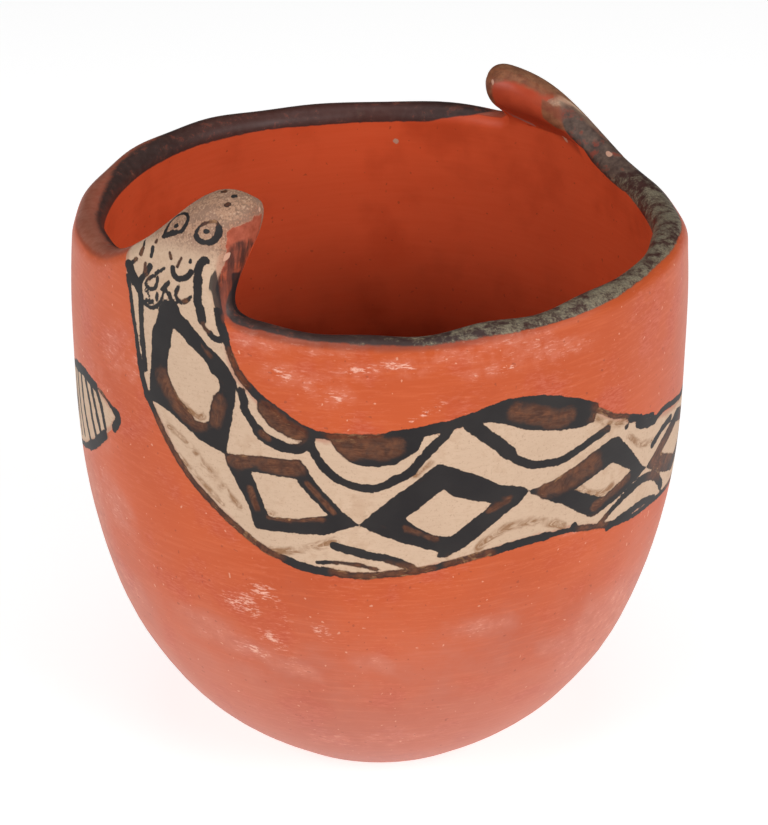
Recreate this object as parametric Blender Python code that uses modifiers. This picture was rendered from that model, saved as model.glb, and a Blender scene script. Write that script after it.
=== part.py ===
"""Hand-built clay jar with two snake heads modelled from its rim.

Units are metres and +Z is up. The origin is the centre of the flat base. The wall is turned
from one section, then its upper part is drawn up into an uneven lip and two leaning heads.
Angles round the jar are measured from the front (-Y), growing towards +X.
"""
import math

import bpy
from mathutils import Vector
from mathutils.geometry import interpolate_bezier

MM = 0.001

# Driving dimensions of the pot
BASE_RADIUS = 37.4 * MM
BELLY_RADIUS = 88.0 * MM
BELLY_HEIGHT = 124.4 * MM
RIM_RADIUS = 86.4 * MM
RIM_HEIGHT = 160.8 * MM
WALL = 7.5 * MM
FLOOR = 9.0 * MM
LIP_THICKNESS = 9.5 * MM
LIP_ROUNDING = 5.0 * MM

# Fullness of the lower outline: the wall leaves the base at this slope and for this share of
# its widening, and comes upright over this share of the belly's height
FOOT_SLOPE = math.radians(37.1)
FOOT_REACH = 0.316
BELLY_FULLNESS = 0.765

# Unevenness of the lip left by the hand: waves round the rim, with the height of each
RIM_WAVES = (
    (1, -0.36 * MM, -1.58 * MM),
    (2, -0.21 * MM, 0.20 * MM),
    (3, -1.24 * MM, 0.38 * MM),
    (4, -0.78 * MM, -0.25 * MM),
    (5, 0.28 * MM, 0.28 * MM),
)

# The upper wall that was drawn up into the lip and the heads
DRAWN_DEPTH = 26.0 * MM

# The two heads. Throat is the angle where the underside of the snout meets the rim, length
# runs back from there along the rim to the nape, snout is how far the nose passes the throat,
# hook is the undercut below it, and nape and brow are shares of the length that shape the neck.
SNAKE_HEADS = (
    {"throat": math.radians(-27.9), "length": 59.5 * MM, "rise": 29.6 * MM, "snout": 3.1 * MM,
     "thickness": 15 * MM, "lean": 12 * MM, "nape": 0.51, "brow": 0.36, "hook": 6.5 * MM},
    {"throat": math.radians(150.0), "length": 52.3 * MM, "rise": 15.8 * MM, "snout": 6.3 * MM,
     "thickness": 14 * MM, "lean": 9.8 * MM, "nape": 0.47, "brow": 0.40, "hook": 2.0 * MM},
)
THROAT_FILLET = 5.0 * MM
CROWN_BACK = 0.04
SNOUT_CROWN = (0.60, 0.96)
SNOUT_TIP = 0.80
SNOUT_CHIN = 0.45

# How the clay of a head was drawn up. Lines of it end square to the edge, whose direction is
# judged over the run, and crowd towards the snout by the power. The pulls keep the lines
# straight at both ends, and the head reaches its full thickness at the swell's share of its rise.
EDGE_RUN = 10.0 * MM
CROWN_POWER = 0.85
EDGE_PULL = 0.4
RISE_PULL = 0.1
ROOT_PULL = 0.1
SWELL_SHARE = 0.8
LEAN_POWER = 1.6

# Fineness of the solid
TURNS = 96
OUTLINE_STEPS = 12
LIP_STEPS = 6
DRAWN_STEPS = 6
HEAD_STEPS = 12
COLUMN_STEPS = 16
FLOOR_RING = 0.45
CROWDING = 0.6

# Edges that turn more than this look sharp: those of the base and of the floor
SHARP_EDGE = math.radians(35)

CLAY_COLOUR = (0.68, 0.118, 0.040, 1.0)


def clear_scene():
    for item in list(bpy.data.objects):
        bpy.data.objects.remove(item, do_unlink=True)


def clay_material():
    material = bpy.data.materials.new("burnished_red_clay")
    material.use_nodes = True
    shader = material.node_tree.nodes["Principled BSDF"]
    shader.inputs["Base Color"].default_value = CLAY_COLOUR
    shader.inputs["Roughness"].default_value = 0.45
    shader.inputs["Metallic"].default_value = 0.0
    return material


def smooth_step(share):
    share = min(max(share, 0.0), 1.0)
    return share * share * (3.0 - 2.0 * share)


def bezier(knots, steps):
    """Points of one Bezier span, given as knot, handle, handle, knot."""
    spans = [Vector((x, y, 0.0)) for x, y in knots]
    return [(point.x, point.y) for point in interpolate_bezier(*spans, steps + 1)]


def point_at(line, distance):
    """The point that lies a distance along a line of points."""
    for start, end in zip(line, line[1:]):
        length = math.dist(start, end)
        if distance <= length:
            share = distance / length if length else 0.0
            return tuple(a + (b - a) * share for a, b in zip(start, end))
        distance -= length
    return line[-1]


def length_of(line):
    """Length of a line of points."""
    return sum(math.dist(start, end) for start, end in zip(line, line[1:]))


def upper_radius(height):
    """Outer radius of the wall between the belly and the rim."""
    share = (height - BELLY_HEIGHT) / (RIM_HEIGHT - BELLY_HEIGHT)
    return BELLY_RADIUS - (BELLY_RADIUS - RIM_RADIUS) * min(max(share, 0.0), 1.0) ** 2


def thickness_at(height):
    """Thickness of the upper wall, which grows from the belly to the lip."""
    share = (height - BELLY_HEIGHT) / (RIM_HEIGHT - BELLY_HEIGHT)
    return WALL + (LIP_THICKNESS - WALL) * smooth_step(share)


def lower_outline(steps):
    """Outside of the wall from the edge of the base up to the belly."""
    reach = FOOT_REACH * (BELLY_RADIUS - BASE_RADIUS)
    return bezier((
        (BASE_RADIUS, 0.0),
        (BASE_RADIUS + reach, reach * math.tan(FOOT_SLOPE)),
        (BELLY_RADIUS, BELLY_HEIGHT * (1.0 - BELLY_FULLNESS)),
        (BELLY_RADIUS, BELLY_HEIGHT),
    ), steps)


def inner_outline(steps):
    """Inside of the wall: the outside moved in by its thickness, which grows to the floor's."""
    outside = lower_outline(steps)
    inside = []
    for index in range(1, steps + 1):
        before, here = outside[index - 1], outside[index]
        run, rise = here[0] - before[0], here[1] - before[1]
        span = math.hypot(run, rise)
        share = 1.0 - here[1] / BELLY_HEIGHT
        thickness = WALL + (FLOOR - WALL) * share
        radius = here[0] - thickness * rise / span
        height = max(here[1] + thickness * run / span, FLOOR)
        inside.append((radius, height))
    return inside


def wall_section():
    """Section of the turned pot: up the inside, over the lip, down the outside, to the axis."""
    ring = FLOOR_RING * BASE_RADIUS
    inside = [(0.0, FLOOR), (ring, FLOOR)] + inner_outline(OUTLINE_STEPS)
    drawn_bottom = RIM_HEIGHT - DRAWN_DEPTH
    drawn_top = RIM_HEIGHT - LIP_ROUNDING
    heights = [(BELLY_HEIGHT + drawn_bottom) / 2]
    for index in range(DRAWN_STEPS + 1):
        heights.append(drawn_bottom + (drawn_top - drawn_bottom) * index / DRAWN_STEPS)
    inside += [(upper_radius(height) - thickness_at(height), height) for height in heights]
    lip = []
    for index in range(1, LIP_STEPS):
        turn = math.pi * index / LIP_STEPS
        height = drawn_top + LIP_ROUNDING * math.sin(turn)
        radius = upper_radius(height) - thickness_at(height) * (1.0 + math.cos(turn)) / 2
        lip.append((radius, height))
    outside = [(upper_radius(height), height) for height in reversed(heights)]
    outside += list(reversed(lower_outline(OUTLINE_STEPS)))
    return inside + lip + outside + [(ring, 0.0), (0.0, 0.0)]


def rim_wave(angle):
    """Height of the uneven lip over its mean."""
    return sum(c * math.cos(n * angle) + s * math.sin(n * angle) for n, c, s in RIM_WAVES)


def head_outline(head):
    """Edge of a head on the unrolled wall: distance along the rim from the throat, and height."""
    length, rise, snout = head["length"], head["rise"], head["snout"]
    crown = (-CROWN_BACK * length, rise)
    tip = (snout, SNOUT_TIP * rise)
    nape = bezier((
        (-length, 0.0),
        (-head["nape"] * length, 0.0),
        (-head["brow"] * length, rise),
        crown,
    ), HEAD_STEPS)
    nose = bezier((
        crown,
        (SNOUT_CROWN[0] * snout, rise),
        (snout, SNOUT_CROWN[1] * rise),
        tip,
    ), HEAD_STEPS)
    throat = bezier((
        tip,
        (snout, SNOUT_CHIN * rise),
        (-head["hook"], 0.0),
        (THROAT_FILLET, 0.0),
    ), HEAD_STEPS)
    rim_before = [(-length - EDGE_RUN, 0.0)]
    rim_after = [(THROAT_FILLET + EDGE_RUN, 0.0)]
    return rim_before + nape + nose[1:] + throat[1:] + rim_after


def column_line(root, head):
    """A line of clay drawn up from the wall to the edge of a head, from the edge downwards."""
    outline = head_outline(head)
    share = (root + head["length"]) / (head["length"] + THROAT_FILLET)
    reach = EDGE_RUN + share ** CROWN_POWER * (length_of(outline) - 2 * EDGE_RUN)
    edge = point_at(outline, reach)
    before = point_at(outline, reach - EDGE_RUN)
    after = point_at(outline, reach + EDGE_RUN)
    run, rise = after[0] - before[0], after[1] - before[1]
    span = math.hypot(run, rise)
    pull = EDGE_PULL * head["thickness"] + RISE_PULL * edge[1]
    return bezier((
        edge,
        (edge[0] + pull * rise / span, edge[1] - pull * run / span),
        (root, -ROOT_PULL * DRAWN_DEPTH),
        (root, -DRAWN_DEPTH),
    ), COLUMN_STEPS)


def draw_up(point):
    """Move one point of the turned wall to where the hand drew it."""
    depth = RIM_HEIGHT - point.z
    if depth >= DRAWN_DEPTH:
        return point
    angle = math.atan2(point.x, -point.y)
    thickness = thickness_at(point.z)
    middle = upper_radius(point.z) - thickness / 2
    offset = math.hypot(point.x, point.y) - middle
    lip = LIP_ROUNDING
    along = 0.0
    height = -depth
    lean = tilt = 0.0
    for head in SNAKE_HEADS:
        away = (angle - head["throat"] + math.pi) % (2 * math.pi) - math.pi
        root = away * middle
        if -head["length"] < root < THROAT_FILLET:
            line = column_line(root, head)
            reach = length_of(line)
            raised = smooth_step(line[0][1] / head["rise"])
            lip += (head["thickness"] / 2 - LIP_ROUNDING) * raised
            if depth <= LIP_ROUNDING:
                down = depth / LIP_ROUNDING * lip
            else:
                down = lip + (depth - LIP_ROUNDING) / (DRAWN_DEPTH - LIP_ROUNDING) * (reach - lip)
            along, height = point_at(line, down)
            along -= root
            swell = smooth_step(height / (SWELL_SHARE * head["rise"]))
            offset *= 1.0 + (head["thickness"] / thickness - 1.0) * swell
            if height > 0.0:
                share = height / head["rise"]
                lean = head["lean"] * share ** LEAN_POWER
                slope = LEAN_POWER * head["lean"] / head["rise"] * share ** (LEAN_POWER - 1.0)
                tilt = math.atan(slope)
    share = 1.0 - depth / DRAWN_DEPTH
    angle += along / middle
    radius = middle - lean + offset * math.cos(tilt)
    rise = height + offset * math.sin(tilt) + rim_wave(angle) * smooth_step(share)
    return Vector((radius * math.sin(angle), -radius * math.cos(angle), RIM_HEIGHT + rise))


def crowd_columns(point):
    """Turn a point towards the heads, so that more of the mesh is where the form is fine."""
    angle = math.atan2(point.x, -point.y)
    centre = SNAKE_HEADS[0]["throat"] - 0.5 * SNAKE_HEADS[0]["length"] / RIM_RADIUS
    turn = -CROWDING * math.sin(2 * (angle - centre)) / 2
    radius = math.hypot(point.x, point.y)
    angle += turn
    return Vector((radius * math.sin(angle), -radius * math.cos(angle), point.z))


def turned_pot(collection):
    """The wall, floor and lip as one turned shape."""
    section = wall_section()
    mesh = bpy.data.meshes.new("jar_section")
    edges = [(index, index + 1) for index in range(len(section) - 1)]
    mesh.from_pydata([(radius, 0.0, height) for radius, height in section], edges, [])
    pot = bpy.data.objects.new("jar_turned", mesh)
    collection.objects.link(pot)
    screw = pot.modifiers.new("turn", "SCREW")
    screw.axis = "Z"
    screw.angle = 2 * math.pi
    screw.steps = TURNS
    screw.render_steps = TURNS
    screw.use_merge_vertices = True
    screw.merge_threshold = 0.00001
    return pot


def make_jar(collection):
    pot = turned_pot(collection)
    view = bpy.context.evaluated_depsgraph_get()
    mesh = bpy.data.meshes.new_from_object(pot.evaluated_get(view))
    mesh.name = "jar"
    bpy.data.objects.remove(pot, do_unlink=True)
    for vertex in mesh.vertices:
        vertex.co = draw_up(crowd_columns(vertex.co))
    mesh.materials.clear()
    mesh.materials.append(clay_material())
    jar = bpy.data.objects.new("jar", mesh)
    collection.objects.link(jar)
    mesh.shade_smooth()
    mesh.set_sharp_from_angle(angle=SHARP_EDGE)
    return jar


def main():
    clear_scene()
    collection = bpy.data.collections.new("clay_jar")
    bpy.context.scene.collection.children.link(collection)
    make_jar(collection)


main()
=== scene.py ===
"""Looks of a hand-built clay jar with two snake heads on its rim.

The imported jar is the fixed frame. A finer surface of the same form takes its place, painted by
attributes of its points, on a pale floor under soft lights. Lengths are millimetres until the
mesh is made in metres. Angles round the jar are from the front (-Y) towards +X.
"""
import math

import bmesh
import bpy
import numpy as np
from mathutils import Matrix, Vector


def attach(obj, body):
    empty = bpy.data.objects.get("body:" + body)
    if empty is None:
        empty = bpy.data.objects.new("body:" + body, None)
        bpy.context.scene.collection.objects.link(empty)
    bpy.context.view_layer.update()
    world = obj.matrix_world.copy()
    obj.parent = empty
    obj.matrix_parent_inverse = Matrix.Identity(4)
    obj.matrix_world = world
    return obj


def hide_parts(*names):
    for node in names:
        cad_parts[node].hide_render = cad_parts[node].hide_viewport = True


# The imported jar
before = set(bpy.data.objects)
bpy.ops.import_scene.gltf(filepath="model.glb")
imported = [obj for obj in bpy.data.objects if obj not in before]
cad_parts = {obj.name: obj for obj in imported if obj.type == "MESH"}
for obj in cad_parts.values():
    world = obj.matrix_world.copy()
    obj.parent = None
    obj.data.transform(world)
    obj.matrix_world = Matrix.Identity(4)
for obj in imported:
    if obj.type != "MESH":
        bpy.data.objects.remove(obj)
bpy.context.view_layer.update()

# The form of the jar
# One wall of coil-built clay, turned from a section and then drawn up by hand into an uneven
# lip and two leaning heads. The numbers are those of the solid.
BASE_RADIUS = 37.4
BELLY_RADIUS = 88.0
BELLY_HEIGHT = 124.4
RIM_RADIUS = 86.4
RIM_HEIGHT = 160.8
WALL = 7.5
FLOOR = 9.0
LIP_THICKNESS = 9.5
LIP_ROUNDING = 5.0
# The wall leaves the base at this slope and for this share of its widening, and comes upright
# over this share of the belly's height
FOOT_SLOPE = math.radians(37.1)
FOOT_REACH = 0.316
BELLY_FULLNESS = 0.765
# Waves of the lip: how many go round the rim, and the heights of their cosine and sine
RIM_WAVES = (
    (1, -0.36, -1.58),
    (2, -0.21, 0.20),
    (3, -1.24, 0.38),
    (4, -0.78, -0.25),
    (5, 0.28, 0.28),
)
# The upper wall that was drawn up, and the two heads. Throat is the angle where the underside
# of the snout meets the rim, and length runs back from there to the nape.
DRAWN_DEPTH = 26.0
SNAKE_HEADS = (
    {"throat": math.radians(-27.9), "length": 59.5, "rise": 29.6, "snout": 3.1,
     "thickness": 15.0, "lean": 12.0, "nape": 0.51, "brow": 0.36, "hook": 6.5},
    {"throat": math.radians(150.0), "length": 52.3, "rise": 15.8, "snout": 6.3,
     "thickness": 14.0, "lean": 9.8, "nape": 0.47, "brow": 0.40, "hook": 2.0},
)
THROAT_FILLET = 5.0
CROWN_BACK = 0.04
SNOUT_CROWN = (0.60, 0.96)
SNOUT_TIP = 0.80
SNOUT_CHIN = 0.45
EDGE_RUN = 10.0
CROWN_POWER = 0.85
EDGE_PULL = 0.4
RISE_PULL = 0.1
ROOT_PULL = 0.1
SWELL_SHARE = 0.8
LEAN_POWER = 1.6
# How many steps the curves are drawn in
OUTLINE_STEPS = 60
UPPER_STEPS = 40
LIP_TURNS = 25
HEAD_STEPS = 24


def smooth_step(share):
    share = np.clip(share, 0.0, 1.0)
    return share * share * (3.0 - 2.0 * share)


def bezier(start, pull, draw, end, steps):
    """Points of one Bezier span. Its ends may be single points or one for each vertex."""
    start, pull, draw, end = (np.asarray(knot, float) for knot in (start, pull, draw, end))
    shares = np.linspace(0.0, 1.0, steps + 1)
    return np.array([
        start * (1 - t) ** 3 + pull * 3 * t * (1 - t) ** 2 + draw * 3 * t * t * (1 - t) + end * t ** 3
        for t in shares
    ])


def distances_along(line):
    """Distance of each point of a line from its start."""
    steps = np.linalg.norm(np.diff(line, axis=0), axis=-1)
    return np.concatenate([np.zeros_like(steps[:1]), np.cumsum(steps, axis=0)])


def upper_radius(height):
    share = np.clip((height - BELLY_HEIGHT) / (RIM_HEIGHT - BELLY_HEIGHT), 0.0, 1.0)
    return BELLY_RADIUS - (BELLY_RADIUS - RIM_RADIUS) * share ** 2


def thickness_at(height):
    share = (height - BELLY_HEIGHT) / (RIM_HEIGHT - BELLY_HEIGHT)
    return WALL + (LIP_THICKNESS - WALL) * smooth_step(share)


def wall_section():
    """Up the inside, over the lip, down the outside and across the base, as (radius, height)."""
    reach = FOOT_REACH * (BELLY_RADIUS - BASE_RADIUS)
    outside = bezier(
        (BASE_RADIUS, 0.0),
        (BASE_RADIUS + reach, reach * math.tan(FOOT_SLOPE)),
        (BELLY_RADIUS, BELLY_HEIGHT * (1.0 - BELLY_FULLNESS)),
        (BELLY_RADIUS, BELLY_HEIGHT),
        OUTLINE_STEPS,
    )
    along = np.diff(outside, axis=0)
    along /= np.linalg.norm(along, axis=1)[:, None]
    lower = outside[1:]
    thickness = (WALL + (FLOOR - WALL) * (1.0 - lower[:, 1] / BELLY_HEIGHT))[:, None]
    inside = lower + thickness * along[:, ::-1] * (-1.0, 1.0)
    inside[:, 1] = np.maximum(inside[:, 1], FLOOR)
    heights = np.linspace(BELLY_HEIGHT, RIM_HEIGHT - LIP_ROUNDING, UPPER_STEPS)[1:]
    inner_wall = np.stack([upper_radius(heights) - thickness_at(heights), heights], 1)
    outer_wall = np.stack([upper_radius(heights), heights], 1)[::-1]
    turns = np.linspace(0.0, math.pi, LIP_TURNS)[1:-1]
    levels = RIM_HEIGHT - LIP_ROUNDING * (1.0 - np.sin(turns))
    lip = np.stack([upper_radius(levels) - thickness_at(levels) * (1.0 + np.cos(turns)) / 2, levels], 1)
    centre_inside, centre_base = [(0.0, FLOOR)], [(0.0, 0.0)]
    return np.concatenate([
        centre_inside, inside, inner_wall, lip, outer_wall, outside[::-1], centre_base])


def rim_wave(angle):
    return sum(c * np.cos(n * angle) + s * np.sin(n * angle) for n, c, s in RIM_WAVES)


def head_outline(head):
    """Edge of a head on the unrolled wall: distance from the throat, height above the rim."""
    length, rise, snout = head["length"], head["rise"], head["snout"]
    crown = (-CROWN_BACK * length, rise)
    tip = (snout, SNOUT_TIP * rise)
    neck_pull, brow_pull = (-head["nape"] * length, 0), (-head["brow"] * length, rise)
    nape = bezier((-length, 0), neck_pull, brow_pull, crown, HEAD_STEPS)
    nose_pull, lip_pull = (SNOUT_CROWN[0] * snout, rise), (snout, SNOUT_CROWN[1] * rise)
    nose = bezier(crown, nose_pull, lip_pull, tip, HEAD_STEPS)
    throat = bezier(tip, (snout, SNOUT_CHIN * rise), (-head["hook"], 0), (THROAT_FILLET, 0), HEAD_STEPS)
    before, after = [(-length - EDGE_RUN, 0)], [(THROAT_FILLET + EDGE_RUN, 0)]
    return np.concatenate([before, nape, nose[1:], throat[1:], after])


def column_lines(root, head):
    """Lines of clay drawn up from the wall to the edge of a head, each from its edge down."""
    outline = head_outline(head)
    run_of = distances_along(outline)
    share = (root + head["length"]) / (head["length"] + THROAT_FILLET)
    reach = EDGE_RUN + share ** CROWN_POWER * (run_of[-1] - 2 * EDGE_RUN)

    def on_outline(distance):
        return np.stack([np.interp(distance, run_of, outline[:, axis]) for axis in (0, 1)], 1)

    edge = on_outline(reach)
    ahead = on_outline(reach + EDGE_RUN) - on_outline(reach - EDGE_RUN)
    ahead /= np.linalg.norm(ahead, axis=1)[:, None]
    pull = (EDGE_PULL * head["thickness"] + RISE_PULL * edge[:, 1])[:, None]
    inward = ahead[:, ::-1] * (1.0, -1.0)
    foot = np.stack([root, np.full_like(root, -DRAWN_DEPTH)], 1)
    knee = np.stack([root, np.full_like(root, -ROOT_PULL * DRAWN_DEPTH)], 1)
    return bezier(edge, edge + pull * inward, knee, foot, HEAD_STEPS)


def place(angle, radius, height):
    """Where points of the turned wall lie once the lip and the heads are drawn up."""
    depth = RIM_HEIGHT - height
    thickness = thickness_at(height)
    middle = upper_radius(height) - thickness / 2
    offset = radius - middle
    along = np.zeros_like(angle)
    level = -depth
    lean = np.zeros_like(angle)
    tilt = np.zeros_like(angle)
    for head in SNAKE_HEADS:
        away = (angle - head["throat"] + math.pi) % (2 * math.pi) - math.pi
        root = away * middle
        drawn = (-head["length"] < root) & (root < THROAT_FILLET) & (depth < DRAWN_DEPTH)
        if not drawn.any():
            continue
        root, deep = root[drawn], depth[drawn]
        lines = column_lines(root, head)
        run_of = distances_along(lines)
        raised = smooth_step(lines[0, :, 1] / head["rise"])
        lip = LIP_ROUNDING + (head["thickness"] / 2 - LIP_ROUNDING) * raised
        below = (deep - LIP_ROUNDING) / (DRAWN_DEPTH - LIP_ROUNDING)
        down = np.where(deep <= LIP_ROUNDING, deep / LIP_ROUNDING * lip, lip + below * (run_of[-1] - lip))
        steps = np.diff(lines, axis=0)
        shares = np.clip((down - run_of[:-1]) / np.diff(run_of, axis=0), 0.0, 1.0)
        point = lines[0] + (steps * shares[:, :, None]).sum(0)
        along[drawn] = point[:, 0] - root
        level[drawn] = point[:, 1]
        swell = smooth_step(point[:, 1] / (SWELL_SHARE * head["rise"]))
        offset[drawn] *= 1.0 + (head["thickness"] / thickness[drawn] - 1.0) * swell
        share = np.clip(point[:, 1] / head["rise"], 0.0, None)
        lean[drawn] = head["lean"] * share ** LEAN_POWER
        slope = LEAN_POWER * head["lean"] / head["rise"] * share ** (LEAN_POWER - 1.0)
        tilt[drawn] = np.arctan(slope)
    upper = depth < DRAWN_DEPTH
    angle = angle + np.where(upper, along / middle, 0.0)
    wave = np.where(upper, rim_wave(angle) * smooth_step(1.0 - depth / DRAWN_DEPTH), 0.0)
    radius = np.where(upper, middle - lean + offset * np.cos(tilt), radius)
    height = np.where(upper, RIM_HEIGHT + level + offset * np.sin(tilt) + wave, height)
    return np.stack([radius * np.sin(angle), -radius * np.cos(angle), height], 1)


SECTION = wall_section()
SECTION_RUN = distances_along(SECTION)
CREST_RUN = SECTION_RUN[np.argmax(SECTION[:, 1])]
BASE_EDGE_RUN = SECTION_RUN[-2]
AROUND = 2 * math.pi * RIM_RADIUS
# How far the zone of the lip runs down both of its sides
LIP_ZONE = 14.0


# Unevenness left by the hand in the coiled wall: level waves, the highest at the lip, that die
# out towards the floor and the base
HAND_WAVES = 22
HAND_RISE = 0.16
LIP_SHARE = 1.2
SMOOTH_BELOW = (12.0, 34.0)
FEWEST_ROUND, MOST_ROUND = 3, 20
WAVE_SLANT = 0.12
CHANCE_SEED = 11
chance = np.random.default_rng(CHANCE_SEED)
WAVES_ROUND = chance.integers(FEWEST_ROUND, MOST_ROUND, HAND_WAVES)
WAVES_ALONG = chance.uniform(-WAVE_SLANT, WAVE_SLANT, HAND_WAVES)
WAVE_STARTS = chance.uniform(0.0, 2 * math.pi, HAND_WAVES)


def unevenness(flat, height):
    """How far the surface stands out from the section, along its normal."""
    turns = flat[:, :1] / RIM_RADIUS * WAVES_ROUND + flat[:, 1:] * WAVES_ALONG + WAVE_STARTS
    rise = HAND_RISE * np.sin(turns).sum(1) / math.sqrt(HAND_WAVES / 2)
    rise *= 1.0 + LIP_SHARE * smooth_step(1.0 - np.abs(flat[:, 1] - CREST_RUN) / LIP_ZONE)
    low, high = SMOOTH_BELOW
    return rise * smooth_step((height - low) / (high - low))


def on_jar(flat):
    """Points of the jar from a flat layout: distance round the rim, distance along the section."""
    radius, height = (np.interp(flat[:, 1], SECTION_RUN, column) for column in SECTION.T)
    along = np.gradient(SECTION, SECTION_RUN, axis=0)
    along_radius, along_height = (np.interp(flat[:, 1], SECTION_RUN, column) for column in along.T)
    rise = unevenness(flat, height)
    return place(flat[:, 0] / RIM_RADIUS, radius - rise * along_height, height + rise * along_radius)


# The surface's mesh
# A tube of faces round the section, halved again and again where the paint has an edge, and
# then bent into the form. Its flat coordinates are the distance round and along the section.
COLUMNS = 100
COARSE_STEP = 5.5
LIP_STEP = 1.7
HALVINGS = 3
# Faces are halved within this share of their size from an edge, and once more above this
# height within this distance of the edge of the paint, where the drawing is finest
EDGE_SHARE = 0.66
FINEST_ABOVE = 156.0
FINEST_EDGE = 0.4


def even_steps(start, end, step):
    return np.linspace(start, end, math.ceil((end - start) / step) + 1)


def section_tube():
    """The section swept round as a closed tube, with the flat layout as its texture map."""
    rows = np.unique(np.concatenate([
        even_steps(0.0, CREST_RUN - LIP_ZONE, COARSE_STEP),
        even_steps(CREST_RUN - LIP_ZONE, CREST_RUN + LIP_ZONE, LIP_STEP),
        even_steps(CREST_RUN + LIP_ZONE, BASE_EDGE_RUN, COARSE_STEP),
        even_steps(BASE_EDGE_RUN, SECTION_RUN[-1], COARSE_STEP),
    ]))
    tube = bmesh.new()
    layout = tube.loops.layers.uv.new("OFBake")
    rings = []
    for run in rows[1:-1]:
        turns = [2 * math.pi * (column / COLUMNS - 0.5) for column in range(COLUMNS)]
        rings.append([
            tube.verts.new((RIM_RADIUS * math.sin(turn), -RIM_RADIUS * math.cos(turn), run))
            for turn in turns])
    first, last = tube.verts.new((0, 0, rows[0])), tube.verts.new((0, 0, rows[-1]))

    def add_face(column, corners):
        face = tube.faces.new([vertex for vertex, across in corners])
        face.smooth = True
        for loop, (vertex, across) in zip(face.loops, corners):
            loop[layout].uv = ((column + across) / COLUMNS, vertex.co.z / rows[-1])

    for column in range(COLUMNS):
        after = (column + 1) % COLUMNS
        add_face(column, ((first, 0.5), (rings[0][after], 1), (rings[0][column], 0)))
        add_face(column, ((last, 0.5), (rings[-1][column], 0), (rings[-1][after], 1)))
        for low, high in zip(rings, rings[1:]):
            add_face(column, ((low[column], 0), (low[after], 1), (high[after], 1), (high[column], 0)))
    return tube


def flat_points(tube):
    """Distance round the rim from the front and distance along the section, for each point."""
    points = np.array([vertex.co for vertex in tube.verts])
    return np.stack([np.arctan2(points[:, 0], -points[:, 1]) * RIM_RADIUS, points[:, 2]], 1)


def halve_faces(tube, wanted):
    """Halve each face that has a wanted point, in both directions."""
    tube.verts.index_update()
    edges = set()
    for face in tube.faces:
        if any(wanted[vertex.index] for vertex in face.verts):
            edges.update(face.edges)
    bmesh.ops.subdivide_edges(tube, edges=list(edges), cuts=1, use_grid_fill=True)
    tube.verts.index_update()


# The painted snakes
# Cream slip covers each snake from its head down its neck and round the wall to a pointed
# tail, and its pattern is brushed over it in black-brown paint. Points are (distance round
# from the throat of the snake's head, climb). Climb is the height above the table, and on a
# head also how far the clay leans in. A stroke is its width and the points it passes through,
# and a patch is an outline with the bare slip left in it.
BACK_LINE = (
    (3.2, 212), (3.1, 204), (2.9, 199.5), (2.6, 197), (1.4, 194), (-0.2, 191.7), (-1.8, 188.3),
    (-1.7, 182), (-2.4, 177), (-3.2, 173), (-2.9, 168), (-1.8, 163), (-0.5, 159), (1, 154), (3, 147),
    (7, 143), (13.5, 137.5), (18, 134.5), (23, 132.5), (28, 131.7), (40, 132.2),
    (54, 134), (63, 135.3), (74, 138.7), (79, 139), (90, 137), (98, 135), (104, 131), (111, 126),
    (117, 123), (125, 120), (136, 116), (147, 113.5), (160, 112.5), (175, 114), (190, 118), (201, 122.5),
    (212, 124.8), (222, 124.4), (229.5, 122.4), (234.8, 120.6),
)
BELLY_LINE = (
    (-38, 212), (-38, 178), (-36, 168.5), (-34.5, 162), (-33, 155.5), (-31, 145.5), (-29, 138),
    (-26, 132), (-20.5, 123.5), (-13.5, 113.5), (-9, 109.5), (-4, 104.9), (1.7, 100.8), (5.8, 97.3),
    (11.5, 94.8), (19.5, 91.6), (26, 90.5), (32, 90), (39, 89.6), (53, 91.2), (66, 93.5), (81, 95.5),
    (92, 95.5), (100, 94.5), (109, 91.5), (117, 90), (126, 89), (135, 87.5), (142, 86.5), (155, 86),
    (170, 87), (185, 90), (199, 95.5), (211, 101), (222.5, 108.4), (230, 114.5), (234.6, 120.6),
)
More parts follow.
